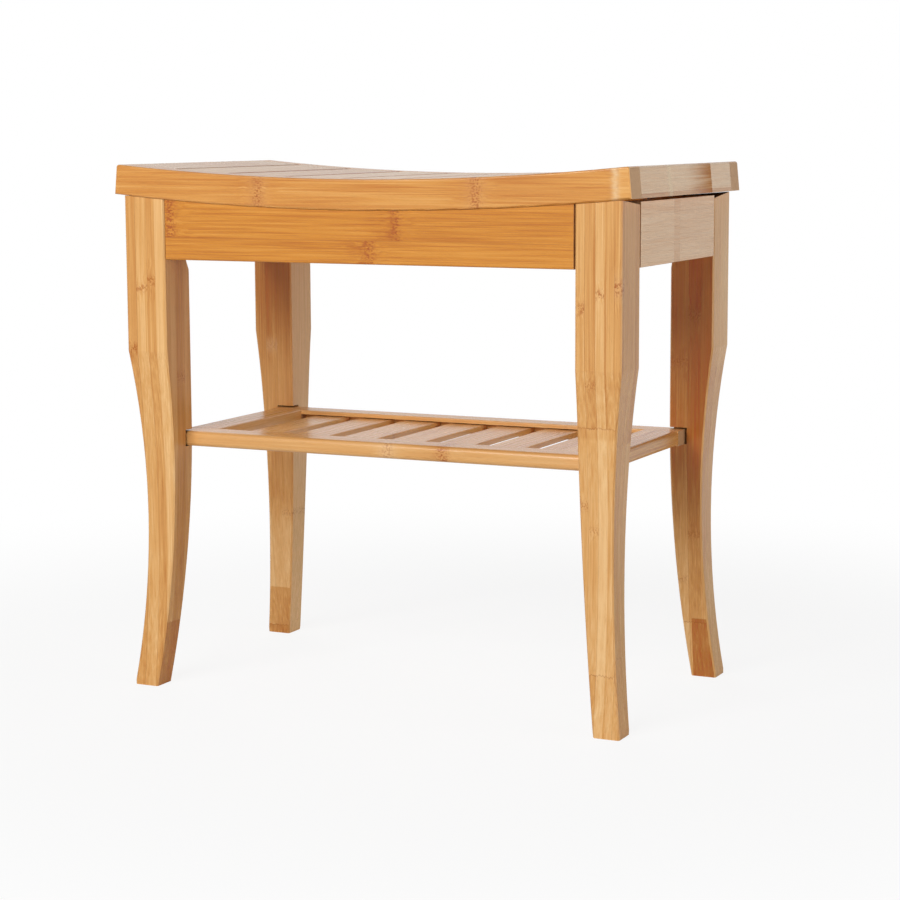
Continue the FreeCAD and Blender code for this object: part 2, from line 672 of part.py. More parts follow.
def make_keys(face):
    """The loose tenons along one long apron, standing on the floors of their mortises."""
    word = "front" if face < 0 else "back"
    keys = []
    for number in KEY_ROW:
        key = doc.addObject("Part::Box", f"key_{word}_{number + 2}")
        key.setExpression("Length", cells("key_width"))
        key.setExpression("Width", cells("key_thick"))
        key.setExpression("Height", cells(f"{KEY_HIGH} - {KEY_LOW}"))
        key.setExpression("Placement.Base.x", cells(f"{number}*key_spacing - key_width/2"))
        across = f"{face}*({LEG_DEEP} - apron_thick/2) - key_thick/2"
        key.setExpression("Placement.Base.y", cells(across))
        key.setExpression("Placement.Base.z", cells(KEY_LOW))
        keys.append(key)
    return keys


for corner in CORNERS:
    subparts.append(make_leg(corner))
    subparts.append(make_brace(corner))

subparts.append(make_long_apron("apron_front", -1, 0))
subparts.append(make_long_apron("apron_back", 1, 180))
subparts.append(make_apron("apron_right", (LEG_LONG, "0", "0"), 90, SIDE_INNER, SIDE_TOP))
subparts.append(make_apron("apron_left", (f"-{LEG_LONG}", "0", "0"), 270, SIDE_INNER, SIDE_TOP))

subparts.append(make_seat_rail("seat_rail_front", -1, 0))
subparts.append(make_seat_rail("seat_rail_back", 1, 180))
subparts.append(make_end_rail("seat_end_rail_left", -1))
subparts.append(make_end_rail("seat_end_rail_right", 1))
for number in range(int(sheet.seat_slat_count)):
    subparts.append(make_seat_slat(number))

subparts.append(make_shelf_rail("shelf_rail_front", -1, 0))
subparts.append(make_shelf_rail("shelf_rail_back", 1, 180))
subparts.append(make_shelf_end("shelf_end_rail_right", 1, 0))
subparts.append(make_shelf_end("shelf_end_rail_left", -1, 180))
for number in range(int(sheet.shelf_slat_count)):
    subparts.append(make_shelf_slat(number))

subparts.append(group("hanger_bolts", [make_bolt(corner) for corner in CORNERS]))
subparts.append(group("bolt_washers", [make_washer(corner) for corner in CORNERS]))
subparts.append(group("bolt_nuts", [make_nut(corner) for corner in CORNERS]))
subparts.append(group("seat_tenons", make_keys(-1) + make_keys(1)))

doc.recompute()

failed = [item.Name for item in doc.Objects if "Invalid" in item.State or "Error" in item.State]
bad = [item.Label for item in subparts if item.Shape.isNull() or not item.Shape.isValid()]
if failed or bad:
    raise RuntimeError(f"failed objects {failed}, bad shapes {bad}")

os.makedirs("parts", exist_ok=True)
for item in subparts:
    item.Shape.exportStep(f"parts/{item.Label}.step")
    print(item.Label, len(item.Shape.Solids), round(item.Shape.Volume))
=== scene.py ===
"""A laminated bamboo shower bench: its lacquered finish, zinc fittings, studio light and camera.

Lengths are in metres, except in the patterns of the materials, which are in millimetres of the same frame.
"""

import math
from dataclasses import dataclass, replace

import bpy
from mathutils import Matrix, Vector


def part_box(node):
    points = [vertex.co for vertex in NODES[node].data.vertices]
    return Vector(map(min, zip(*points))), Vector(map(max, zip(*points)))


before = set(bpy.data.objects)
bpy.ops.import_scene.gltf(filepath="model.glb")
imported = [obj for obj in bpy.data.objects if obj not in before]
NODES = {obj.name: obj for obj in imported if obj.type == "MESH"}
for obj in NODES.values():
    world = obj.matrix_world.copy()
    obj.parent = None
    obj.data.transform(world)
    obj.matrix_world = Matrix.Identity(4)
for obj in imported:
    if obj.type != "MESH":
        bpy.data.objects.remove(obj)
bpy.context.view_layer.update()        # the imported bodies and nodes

X, Y, Z = 0, 1, 2
MILLIMETRES = 1000.0            # in a metre

# Camera, as the photograph was taken
IMAGE_PIXELS = 900
FOCAL_PIXELS = 2293
SENSOR_WIDTH = 36.0
CAMERA_YAW = math.radians(25.67)
CAMERA_PITCH = math.radians(8.04)
CAMERA_ROLL = math.radians(-0.256)
CAMERA_DISTANCE = 2.025
CAMERA_TARGET = Vector((-0.0002, 0.0388, 0.1976))

# Studio
FLOOR_HALF_WIDTH = 5.0
FLOOR_FRONT = -4.0
FLOOR_BACK = 2.6
SWEEP_RADIUS = 1.2
SWEEP_STEPS = 24
WALL_HEIGHT = 3.0
FLOOR_COLOUR = (0.84, 0.84, 0.84, 1.0)
WHITE = (1.0, 1.0, 1.0, 1.0)
NEAR_GLOW = 0.88                # how white the floor is to the eye, close to the bench
NEAR_MIRROR = 0.3               # how white it is in reflections there
FAR_GLOW_FROM = 0.38            # how far from the middle it starts to turn all white
FAR_GLOW_TO = 1.0
WORLD_AMBIENT = 0.03
AIM = Vector((0.0, 0.0, 0.22))


@dataclass
class Lamp:
    """A softbox that faces the bench, placed by the way it lies in, in degrees."""
    turn: float                 # from the front towards the right
    rise: float                 # above the bench
    distance: float
    width: float
    height: float
    watts: float
    mirrored: bool = True       # whether it shows in the lacquer


LAMPS = {
    "key_softbox": Lamp(turn=-8.0, rise=28.0, distance=3.2, width=2.0, height=1.4, watts=81.0),
    "right_softbox": Lamp(turn=84.0, rise=8.0, distance=2.6, width=2.0, height=1.4, watts=21.0),
    "back_softbox": Lamp(turn=-140.0, rise=10.0, distance=2.6, width=2.0, height=1.2, watts=34.0,
                         mirrored=False),
}


def srgb(red, green, blue):
    """A colour given as 8-bit display values, as the linear colour that a shader takes."""
    def linear(level):
        part = level / 255
        return part / 12.92 if part <= 0.04045 else ((part + 0.055) / 1.055) ** 2.4
    return (linear(red), linear(green), linear(blue), 1.0)


class Field:
    """A number that varies over a surface. Its arithmetic adds nodes to its graph."""

    def __init__(self, graph, socket):
        self.graph = graph
        self.socket = socket

    def __add__(self, other):
        return self.graph.math("ADD", self, other)

    def __sub__(self, other):
        return self.graph.math("SUBTRACT", self, other)

    def __rsub__(self, other):
        return self.graph.math("SUBTRACT", other, self)

    def __mul__(self, other):
        return self.graph.math("MULTIPLY", self, other)

    def __truediv__(self, other):
        return self.graph.math("DIVIDE", self, other)

    __radd__ = __add__
    __rmul__ = __mul__


class Graph:
    """The nodes of one material, written as formulas."""

    FAR_OFF = 99.0                              # from the nearest plane, where there is none
    LEAST_SLANT = 0.002                         # squared
    MIX_FIRST, MIX_SECOND, MIX_RESULT = 6, 7, 2     # the colour sockets of a Mix node

    def __init__(self, name):
        self.material = bpy.data.materials.new(name)
        self.material.use_nodes = True
        self.nodes = self.material.node_tree.nodes
        self.links = self.material.node_tree.links
        self.nodes.clear()

    def node(self, kind, **settings):
        made = self.nodes.new(kind)
        for name, value in settings.items():
            setattr(made, name, value)
        return made

    def feed(self, socket, source):
        """Link a field or a socket, or set a plain value."""
        if isinstance(source, Field):
            self.links.new(source.socket, socket)
        elif isinstance(source, bpy.types.NodeSocket):
            self.links.new(source, socket)
        else:
            socket.default_value = source

    def fill(self, made, inputs):
        """Feed the named sockets of a node."""
        for name, source in inputs.items():
            self.feed(made.inputs[name], source)

    def math(self, operation, *terms):
        made = self.node("ShaderNodeMath", operation=operation)
        for socket, term in zip(made.inputs, terms):
            self.feed(socket, term)
        return Field(self, made.outputs[0])

    def vector(self, *terms):
        made = self.node("ShaderNodeCombineXYZ")
        for socket, term in zip(made.inputs, terms):
            self.feed(socket, term)
        return made.outputs[0]

    def split(self, vector):
        made = self.node("ShaderNodeSeparateXYZ")
        self.feed(made.inputs[0], vector)
        return [Field(self, socket) for socket in made.outputs]

    def place(self):
        """Where a point lies in the frame, axis by axis, in millimetres."""
        coordinates = self.node("ShaderNodeTexCoord")
        return [axis * MILLIMETRES for axis in self.split(coordinates.outputs["Object"])]

    def normal(self):
        """The way that the surface faces, axis by axis."""
        coordinates = self.node("ShaderNodeTexCoord")
        return self.split(coordinates.outputs["Normal"])

    def rise(self, source, low, high):
        """A smooth step from 0 at low to 1 at high."""
        made = self.node("ShaderNodeMapRange", interpolation_type="SMOOTHSTEP")
        self.fill(made, {"Value": source, "From Min": low, "From Max": high})
        return Field(self, made.outputs[0])

    def bell(self, source, width):
        """1 where the source is zero, falling away smoothly on both sides."""
        ratio = source / width
        return self.math("EXPONENT", ratio * ratio * -1.0)

    def steps(self, source, planes):
        """How many planes lie below the source, and how far off the nearest one is."""
        count, nearest = 0.0, self.FAR_OFF
        for plane in planes:
            offset = source - plane
            count = self.math("GREATER_THAN", offset, 0.0) + count
            nearest = self.math("MINIMUM", self.math("ABSOLUTE", offset), nearest)
        return count, nearest

    def slant(self, normal):
        """How steeply a surface crosses the planes square to an axis, from its normal on that axis."""
        return self.math("SQRT", self.math("MAXIMUM", 1.0 - normal * normal, self.LEAST_SLANT))

    def matches(self, source, value):
        """1 where a count has this value, and everywhere where no value is given."""
        return 1.0 if value is None else self.math("COMPARE", source, float(value), 0.5)

    def noise(self, vector, detail, roughness):
        """Soft noise from 0 to 1, with 0.5 in the middle."""
        made = self.node("ShaderNodeTexNoise", noise_dimensions="3D")
        self.fill(made, {"Vector": vector, "Scale": 1.0, "Detail": detail, "Roughness": roughness})
        return Field(self, made.outputs[0])

    def dice(self, *terms):
        """Three random numbers from 0 to 1 for each whole-numbered cell."""
        made = self.node("ShaderNodeTexWhiteNoise", noise_dimensions="3D")
        self.feed(made.inputs["Vector"], self.vector(*terms))
        return self.split(made.outputs["Color"])

    def ramp(self, source, stops):
        made = self.node("ShaderNodeValToRGB")
        elements = made.color_ramp.elements
        while len(elements) < len(stops):
            elements.new(1.0)
        for element, (place, colour) in zip(elements, stops):
            element.position = place
            element.color = colour
        self.feed(made.inputs[0], source)
        return made.outputs[0]

    def mix(self, amount, first, second):
        made = self.node("ShaderNodeMix", data_type="RGBA")
        self.feed(made.inputs[0], amount)
        self.feed(made.inputs[self.MIX_FIRST], first)
        self.feed(made.inputs[self.MIX_SECOND], second)
        return made.outputs[self.MIX_RESULT]

    def bump(self, height, strength, distance):
        """A normal that stands in for relief too fine to model."""
        made = self.node("ShaderNodeBump")
        self.fill(made, {"Height": height, "Strength": strength, "Distance": distance})
        return made.outputs[0]

    def principled(self, inputs):
        """The finished material, from what goes into each named socket of its shader."""
        shader = self.node("ShaderNodeBsdfPrincipled")
        self.fill(shader, inputs)
        return self.finish(shader.outputs[0])

    def finish(self, shader):
        output = self.node("ShaderNodeOutputMaterial")
        self.links.new(shader, output.inputs["Surface"])
        return self.material


# The colours of lacquered bamboo, from pale to deep
# Honey's deepest colour is the wood's deepest tone, made redder to carry the warm bounced light where
# shade is painted on the back legs
HONEY = (srgb(240, 196, 138), srgb(221, 165, 98), srgb(193, 126, 60), srgb(182, 86, 28))
# Paler bamboo for the side aprons and the seat's end rails: partly the wood's own paler tone, partly
# painted sheen of the white surroundings on these sides
PALE_AND_SHEEN = (srgb(246, 210, 166), srgb(232, 186, 136), srgb(212, 152, 88), srgb(190, 112, 22))
AMBER = (srgb(228, 161, 74), srgb(209, 136, 44), srgb(176, 96, 18), srgb(146, 70, 12))
WARM = (srgb(235, 181, 110), srgb(217, 151, 72), srgb(192, 116, 40), srgb(166, 88, 24))
KNUCKLE_DARK = srgb(164, 78, 16)
# the pale ground of knuckles, which on the seat's front rail also serves as a painted highlight
KNUCKLE_PALE = srgb(243, 212, 164)
GLUE_DARK = srgb(140, 82, 36)
PORE_DARK = srgb(124, 74, 34)
END_GRAIN = srgb(210, 170, 128)
# painted shade for cut ends that sit in dark gaps, such as the legs' tops under the seat
END_PAINTED_SHADE = srgb(72, 34, 10)


@dataclass
class Streak:
    """Noise that is drawn out along the grain, in millimetres."""
    length: float
    width: float
    detail: float
    roughness: float = 0.55
    turned: bool = False        # laid on other axes of the noise, so that it doesn't repeat the rest


@dataclass
class Knuckle:
    """A node of the bamboo culm: a ragged column of flecks across one strip, or across them all."""
    place: float                # along the grain
    strip: int = None           # which strip it crosses, all where none is given
    layer: int = None           # and which layer
    width: float = 3.5          # half of the column's width
    dark: float = 0.55          # how strong the dark flecks are
    pale: float = 0.0           # how pale the ground is
    shade: float = 0.0          # how much deeper the fibres are on the low side


@dataclass
class FaceToneAndShade:
    """A change of tone on the side of a piece that faces one way: mostly painted light and shade on sides
    that the lamps light more or less, at times a patch of the wood's own.
    """
    axis: int                   # the axis that the side faces along
    way: float                  # 1 for up the axis, -1 for down it
    change: float               # how much deeper it is
    span: tuple = ()            # (from, to) where the change sets in along the grain, all over if empty
    beyond: float = None        # where it starts across the strips


@dataclass
class Stock:
    """How a piece is cut from laminated bamboo, in millimetres."""
    grain: int                  # the axis along the fibres
    layers_on: int              # the axis that the layers are stacked on
    layers: tuple = ()          # glue planes between the layers
    strips: tuple = ()          # glue planes between the strips of a layer, across the third axis
    shades: tuple = (0.5,)      # how deep the colour of each strip is
    accents: tuple = ()         # (layer, strip, change) for a strip of another depth
    faces: tuple = ()           # the sides that differ in tone: mostly painted light and shade, and some patches of the wood's own
    joints: tuple = ()          # (place, change) for butt joints along the grain
    worn: tuple = ()            # (from, to) where the lacquer thins out along the grain
    palette: tuple = HONEY
    spread: float = 0.3         # how much the strips differ by chance
    streaks: float = 1.0        # how strong the fibres' streaks are
    gloss: float = 0.5          # how strongly the lacquer mirrors
    relief: float = 0.08        # how much the fibres stand out of it
    end_shade: float = 0.0      # how much shade is painted on the cut ends, as a dark and dull colour, where they sit in gaps
    gap_shade_edges: tuple = ()            # edges across the strips along which the shade of the gaps beside them is painted in, as thin dull lacquer
    crossings: float = 0.0      # how strongly the layers' glue shows where a curved face cuts them
    knuckle_gap: float = 0.0    # how far apart chance knuckles are, none where zero
    knuckles: tuple = ()
    seed: float = 0.0

    @property
    def strips_on(self):
        """The axis that the strips lie side by side on."""
        return X + Y + Z - self.grain - self.layers_on


# The fibres at three sizes, their pores, and their cut ends
FINE = Streak(length=80.0, width=0.95, detail=2.0, roughness=0.5)
MIDDLE = Streak(length=150.0, width=2.3, detail=2.0, roughness=0.6)
BROAD = Streak(length=240.0, width=11.0, detail=1.0)
PORES = Streak(length=8.0, width=0.45, detail=1.0)
PORE_LEVELS = (0.6, 0.75)
END_DOTS = Streak(length=40.0, width=0.55, detail=1.0, turned=True)
END_DOT_LEVELS = (0.42, 0.62)
STRIP_SHIFT = 731.0             # how far along the noise one strip's fibres may be from another's

# How squarely the surface faces along an axis before it counts, from not at all to fully
FACING = (0.8, 0.95)
END_FACING = (0.75, 0.95)
TOP_FACING = (0.6, 0.95)

# Glue lines, by how near they are, and how much darker than the least some are by chance
GLUE_WAVER = Streak(length=9.0, width=1.5, detail=2.0)
GLUE_WAVER_DEPTH = 0.5
GLUE_REACH = (0.08, 0.4)
GLUE_LUCK = (0.55, 1.0)
GLUE_LEAST = 0.05
GLUE_MORE = 0.4
CROSSING_REACH = (0.1, 0.8)
CROSSING_LEAST = 0.2

# Knuckles: widths are multiples of the knuckle's own, and reaches are in millimetres
FLECKS = Streak(length=2.0, width=1.2, detail=1.0, roughness=0.6)
FLECK_LEVELS = (0.47, 0.58)
WOBBLE = Streak(length=30.0, width=3.0, detail=2.0, turned=True)
WOBBLE_DEPTH = 5.0
BEND = Streak(length=11.0, width=5.0, detail=1.0)
BEND_DEPTH = 5.0
BEND_WIDTH = 3.0
PALE_WIDTH = 1.8
RIDGE_PLACE = 0.5
RIDGE_REACH = 0.6
LOW_SIDE_REACH = 24.0
HIGH_SIDE_REACH = 4.0

# Knuckles that chance puts along a strip
CHANCE_KNUCKLE = Knuckle(place=0.0, width=2.6, dark=0.6, pale=0.25, shade=0.5)
CHANCE_SPREAD = 0.6             # how far they stray, as a part of the gap
CHANCE_SEED = 3.0
CHANCE_DRAW = 7.0
INTERNODE_SPREAD = 0.16         # how much the tone differs from one to the next

# What adds to the tone, from 0 for the palest colour to the deepest
DEEPEST_TONE = 1.5
FINE_TONE = 1.1
MIDDLE_TONE = 0.6
BROAD_TONE = 0.4
SHADE_STREAKS = 1.1
SHADE_PALEST = 0.2
FACE_WAVER = 2.0                # how ragged the start of a face's tone is, as a multiple of the glue's
FACE_EDGE = 0.5                 # and how soft across the strips

# How strongly the marks cover the colour
PALE_STREAKS = 0.8
PALE_LEAST = 0.25
PORE_COVER = 0.15
END_COVER = 0.8
END_DOT_COVER = 0.2

# Painted shade of the gaps along the seat slats' edges, made as thin dull lacquer, and thin lacquer on a
# worn stretch
GAP_SHADE_REACH = 3.0
GAP_SHADE_DULLING = 0.9
GAP_SHADE_TONE = 0.9
WORN_RAGGEDNESS = 40.0
WORN_TOP_SPARED = 0.8
WORN_STREAKS = 1.4
WORN_TONE = 0.35
DULLNESS_OF_WEAR_AND_GAP_SHADE = 0.95

# Lacquer, with the parts of its relief
LACQUER_IOR = 1.47
LACQUER_ROUGHNESS = 0.27
FIBRE_ROUGHNESS = 2.0           # as a multiple of the stock's relief
END_ROUGHNESS = 0.25
RELIEF_DEPTH = 0.0003           # in metres, as the shader takes it
FINE_RELIEF = 0.5
MIDDLE_RELIEF = 0.3
PORE_RELIEF = 0.3
KNUCKLE_RELIEF = 0.15
GLUE_RELIEF = 0.5

# Zinc plate: spangles and grit
ZINC_TONES = ((0.3, srgb(168, 170, 174)), (0.55, srgb(202, 204, 206)), (0.8, srgb(214, 206, 184)))
SPANGLE_SIZE, SPANGLE_DETAIL = 4.0, 3.0
GRIT_SIZE, GRIT_DETAIL = 0.4, 2.0
ZINC_NOISE_ROUGHNESS = 0.6
ZINC_ROUGHNESS = 0.12
SPANGLE_ROUGHNESS = 0.3
GRIT_ROUGHNESS = 0.15
ZINC_RELIEF = 0.15
ZINC_RELIEF_DEPTH = 0.0001      # in metres


class Cut:
    """Where the surface of a piece lies among the strips that it is glued from."""

    def __init__(self, graph, stock):
        self.graph = graph
        self.stock = stock
        self.normal = graph.normal()
        place = graph.place()
        self.along = place[stock.grain]
        self.deep = place[stock.layers_on]
        self.across = place[stock.strips_on]
        self.waver = (self.noise(GLUE_WAVER) - 0.5) * GLUE_WAVER_DEPTH
        self.layer, layer_gap = graph.steps(self.deep + self.waver, stock.layers)
        self.strip, strip_gap = graph.steps(self.across + self.waver, stock.strips)
        self.length, self.butt_edge = graph.steps(self.along, [joint for joint, change in stock.joints])
        self.layer_edge = graph.math("DIVIDE", layer_gap, graph.slant(self.normal[stock.layers_on]))
        self.strip_edge = graph.math("DIVIDE", strip_gap, graph.slant(self.normal[stock.strips_on]))
        self.luck = graph.dice(graph.math("ADD", self.layer, stock.seed), self.strip, self.length)

    def noise(self, streak, shift=0.0, bend=0.0):
        """Noise drawn out along the grain, shifted along it and bent across it."""
        run = (self.along + shift) / streak.length
        depth = (self.deep + bend) / streak.width
        width = (self.across + bend) / streak.width
        place = (depth, width, run) if streak.turned else (run, depth, width)
        return self.graph.noise(self.graph.vector(*place), streak.detail, streak.roughness)

    def square_to(self, axis, levels):
        """1 where the surface faces along an axis, either way."""
        return self.graph.rise(self.graph.math("ABSOLUTE", self.normal[axis]), *levels)

    def tone(self):
        """How deep the colour is before the fibres come in: by strip, by length, and by side, which mostly
        paints in light and shade.
        """
        g, stock = self.graph, self.stock
        tone = (self.luck[0] - 0.5) * stock.spread + stock.shades[0]
        for plane, before, after in zip(stock.strips, stock.shades, stock.shades[1:]):
            tone = tone + g.math("GREATER_THAN", self.across + self.waver, plane) * (after - before)
        for joint, change in stock.joints:
            tone = tone + g.math("GREATER_THAN", self.along, joint) * change
        # painted light and shade on whole sides, and a few patches of the wood's own
        for face in stock.faces:
            there = g.rise(self.normal[face.axis] * face.way, *FACING)
            if face.span:
                there = there * g.rise(self.along + self.waver * FACE_WAVER, *face.span)
            if face.beyond is not None:
                there = there * g.rise(self.across, face.beyond, face.beyond + FACE_EDGE)
            tone = tone + there * face.change
        for layer, strip, change in stock.accents:
            tone = tone + g.matches(self.layer, layer) * g.matches(self.strip, strip) * change
        return tone


class KnuckleMarks:
    """What the knuckles do to a surface: dark flecks, a pale ground, a deeper side, bent fibres."""

    def __init__(self, cut):
        self.cut = cut
        self.wobble = (cut.noise(WOBBLE) - 0.5) * WOBBLE_DEPTH
        self.flecks = cut.graph.rise(cut.noise(FLECKS), *FLECK_LEVELS)
        self.dark, self.pale, self.shade, self.bend = 0.0, 0.0, 0.0, 0.0
        self.internode_tone = 0.0
        for knuckle in cut.stock.knuckles:
            on_strip = cut.graph.matches(cut.strip, knuckle.strip)
            on_layer = cut.graph.matches(cut.layer, knuckle.layer)
            self.add(cut.along - knuckle.place, cut.graph.math("MULTIPLY", on_strip, on_layer), knuckle)
        if cut.stock.knuckle_gap:
            self.add_by_chance()

    def add(self, offset, amount, knuckle):
        g = self.cut.graph
        ragged = offset + self.wobble
        column = g.bell(ragged, knuckle.width) * self.flecks
        ridge = g.bell(ragged - knuckle.width * RIDGE_PLACE, RIDGE_REACH) * self.flecks
        low_side = g.bell(g.math("MINIMUM", offset, 0.0), LOW_SIDE_REACH)
        high_side = g.bell(g.math("MAXIMUM", offset, 0.0), HIGH_SIDE_REACH)
        self.dark = g.math("MAXIMUM", column, ridge) * amount * knuckle.dark + self.dark
        self.pale = g.bell(ragged, knuckle.width * PALE_WIDTH) * amount * knuckle.pale + self.pale
        self.shade = low_side * high_side * amount * knuckle.shade + self.shade
        self.bend = g.bell(offset, knuckle.width * BEND_WIDTH) * amount + self.bend

    def add_by_chance(self):
        """Knuckles at uneven gaps along each strip, which differs in tone from one to the next."""
        cut, g, seed = self.cut, self.cut.graph, self.cut.stock.seed
        gaps = cut.along / cut.stock.knuckle_gap + cut.luck[1]
        count = g.math("FLOOR", gaps)
        chance = g.dice(count + cut.layer, g.math("ADD", cut.strip, seed * CHANCE_SEED), CHANCE_DRAW)
        offset = (gaps - count - 0.5 - (chance[0] - 0.5) * CHANCE_SPREAD) * cut.stock.knuckle_gap
        self.add(offset, chance[1], CHANCE_KNUCKLE)
        internode = count + g.math("GREATER_THAN", offset, 0.0)
        luck = g.dice(internode, cut.layer, g.math("ADD", cut.strip, seed))
        self.internode_tone = (luck[2] - 0.5) * INTERNODE_SPREAD


class Fibres:
    """The fibres' streaks and pores. The finer streaks bend where they pass a knuckle."""

    def __init__(self, cut, marks):
        shift = cut.luck[1] * STRIP_SHIFT
        bend = (cut.noise(BEND) - 0.5) * marks.bend * BEND_DEPTH
        self.fine = cut.noise(FINE, shift, bend)
        self.middle = cut.noise(MIDDLE, shift, bend)
        self.broad = cut.noise(BROAD, shift)
        self.pores = cut.graph.rise(cut.noise(PORES, shift), *PORE_LEVELS)


def thin_lacquer_and_gap_shade(cut, fibres):
    """How thin the lacquer is on a worn stretch, and how much that deepens the tone. Along the seat slats'
    edges it paints the shade of the gaps between them, as duller and deeper lacquer.
    """
    g, stock = cut.graph, cut.stock
    # painted shade of the gaps between the seat slats, along their edges
    if stock.gap_shade_edges:
        thin_and_gap_shade = g.bell(g.steps(cut.across, stock.gap_shade_edges)[1], GAP_SHADE_REACH) * GAP_SHADE_DULLING
        return thin_and_gap_shade, thin_and_gap_shade * GAP_SHADE_TONE
    if stock.worn:
        low, high = stock.worn
        ragged = cut.along + (fibres.middle - 0.5) * WORN_RAGGEDNESS
        below_top = 1.0 - g.rise(cut.normal[stock.layers_on], *TOP_FACING) * WORN_TOP_SPARED
        thin_and_gap_shade = g.rise(ragged, low, high) * g.math("LESS_THAN", cut.along, high) * below_top
        return thin_and_gap_shade, thin_and_gap_shade * (fibres.fine * WORN_STREAKS + WORN_TONE)
    return 0.0, 0.0


def fibre_colour(cut, marks, fibres, wear_and_gap_shade_tone):
    """The colour of the strips, their fibres and their knuckles."""
    g, stock = cut.graph, cut.stock
    tone = cut.tone() + marks.internode_tone
    tone = tone + (fibres.middle - 0.5) * (MIDDLE_TONE * stock.streaks)
    tone = tone + (fibres.fine - 0.5) * (FINE_TONE * stock.streaks)
    tone = tone + (fibres.broad - 0.5) * BROAD_TONE
    # with the deeper tone of worn lacquer, and the painted shade of the gaps along the seat slats
    tone = tone + marks.shade * (fibres.middle * SHADE_STREAKS - SHADE_PALEST) + wear_and_gap_shade_tone
    last = len(stock.palette) - 1
    stops = [(number / last, shade) for number, shade in enumerate(stock.palette)]
    colour = g.ramp(tone / DEEPEST_TONE, stops)
    pale = marks.pale * (fibres.fine * PALE_STREAKS + PALE_LEAST)
    colour = g.mix(g.math("MINIMUM", pale, 1.0), colour, KNUCKLE_PALE)
    colour = g.mix(g.math("MINIMUM", marks.dark, 1.0), colour, KNUCKLE_DARK)
    return g.mix(fibres.pores * PORE_COVER, colour, PORE_DARK)


def draw_glue(cut, fibres, colour):
    """The colour with the glue lines in it, more or less dark, and where they are."""
    g, stock = cut.graph, cut.stock
    if stock.crossings:
        near = 1.0 - g.rise(cut.layer_edge, *CROSSING_REACH)
        crossing = cut.square_to(stock.layers_on, FACING) * near * (fibres.fine + CROSSING_LEAST)
        colour = g.mix(crossing * stock.crossings, colour, KNUCKLE_DARK)
    seam = g.math("MINIMUM", g.math("MINIMUM", cut.layer_edge, cut.strip_edge), cut.butt_edge)
    glue = 1.0 - g.rise(seam, *GLUE_REACH)
    cover = g.rise(cut.luck[2], *GLUE_LUCK) * GLUE_MORE + GLUE_LEAST
    return g.mix(glue * cover, colour, GLUE_DARK), glue


def draw_ends(cut, colour):
    """The colour with the cut ends in it, which show the fibres as dots, with painted shade on ends that
    sit in the dark, and where they are.
    """
    g, stock = cut.graph, cut.stock
    cut_end = cut.square_to(stock.grain, END_FACING)
    dots = g.rise(cut.noise(END_DOTS), *END_DOT_LEVELS)
    colour = g.mix(cut_end * END_COVER, colour, END_GRAIN)
    colour = g.mix(cut_end * dots * END_DOT_COVER, colour, PORE_DARK)
    # painted shade on the ends that sit in the dark
    if stock.end_shade:
        colour = g.mix(cut_end * stock.end_shade, colour, END_PAINTED_SHADE)
    return colour, cut_end


def bamboo(name, stock):
    """Strips of bamboo glued side by side, cut through as a solid and lacquered."""
    g = Graph(name)
    cut = Cut(g, stock)
    marks = KnuckleMarks(cut)
    fibres = Fibres(cut, marks)
    thin_and_gap_shade, wear_and_gap_shade_tone = thin_lacquer_and_gap_shade(cut, fibres)
    colour = fibre_colour(cut, marks, fibres, wear_and_gap_shade_tone)
    colour, glue = draw_glue(cut, fibres, colour)
    colour, cut_end = draw_ends(cut, colour)

    height = fibres.fine * FINE_RELIEF + fibres.middle * MIDDLE_RELIEF - fibres.pores * PORE_RELIEF
    height = height + marks.dark * KNUCKLE_RELIEF - glue * GLUE_RELIEF
    roughness = LACQUER_ROUGHNESS + (fibres.fine - 0.5) * (stock.relief * FIBRE_ROUGHNESS)
    # worn lacquer mirrors less, and so do the bands of painted gap shade along the seat slats
    dull = thin_and_gap_shade * DULLNESS_OF_WEAR_AND_GAP_SHADE
    # the ends with painted shade mirror less
    if stock.end_shade:
        dull = g.math("MAXIMUM", cut_end * stock.end_shade, dull)
    return g.principled({
        "Base Color": colour,
        "Roughness": roughness + cut_end * END_ROUGHNESS,
        "Specular IOR Level": (1.0 - dull) * stock.gloss,
        "IOR": LACQUER_IOR,
        "Normal": g.bump(height, stock.relief, RELIEF_DEPTH),
    })


def zinc_steel(name):
    """Bright zinc plate on small steel fittings, dulled in spangles and handling marks."""
    g = Graph(name)
    place = g.place()
    spangles = g.vector(*[axis / SPANGLE_SIZE for axis in place])
    cloud = g.noise(spangles, SPANGLE_DETAIL, ZINC_NOISE_ROUGHNESS)
    grains = g.vector(*[axis / GRIT_SIZE for axis in place])
    grit = g.noise(grains, GRIT_DETAIL, ZINC_NOISE_ROUGHNESS)
    return g.principled({
        "Base Color": g.ramp(cloud, ZINC_TONES),
        "Roughness": cloud * SPANGLE_ROUGHNESS + grit * GRIT_ROUGHNESS + ZINC_ROUGHNESS,
        "Metallic": 1.0,
        "Normal": g.bump(grit, ZINC_RELIEF, ZINC_RELIEF_DEPTH),
    })


# How each kind of piece is cut
# the legs' tops, in the gap under the seat, get painted shade
LEG = Stock(grain=Z, layers_on=Y, gloss=0.35, end_shade=0.9, crossings=0.5)
LONG_APRON = Stock(
    grain=X, layers_on=Y, layers=(0.0,), strips=(389.5,), shades=(0.5, 0.54), palette=AMBER, spread=0.1,
    streaks=1.2)
# The side aprons take the paler colours, which hold painted sheen
SIDE_APRON = Stock(
    grain=Y, layers_on=X, strips=(391.5, 411.5), shades=(0.46, 0.42, 0.5), palette=PALE_AND_SHEEN, spread=0.1,
    gloss=0.7)
SEAT_RAIL = Stock(grain=X, layers_on=Y, shades=(0.58,), palette=WARM, spread=0.1, streaks=1.2)
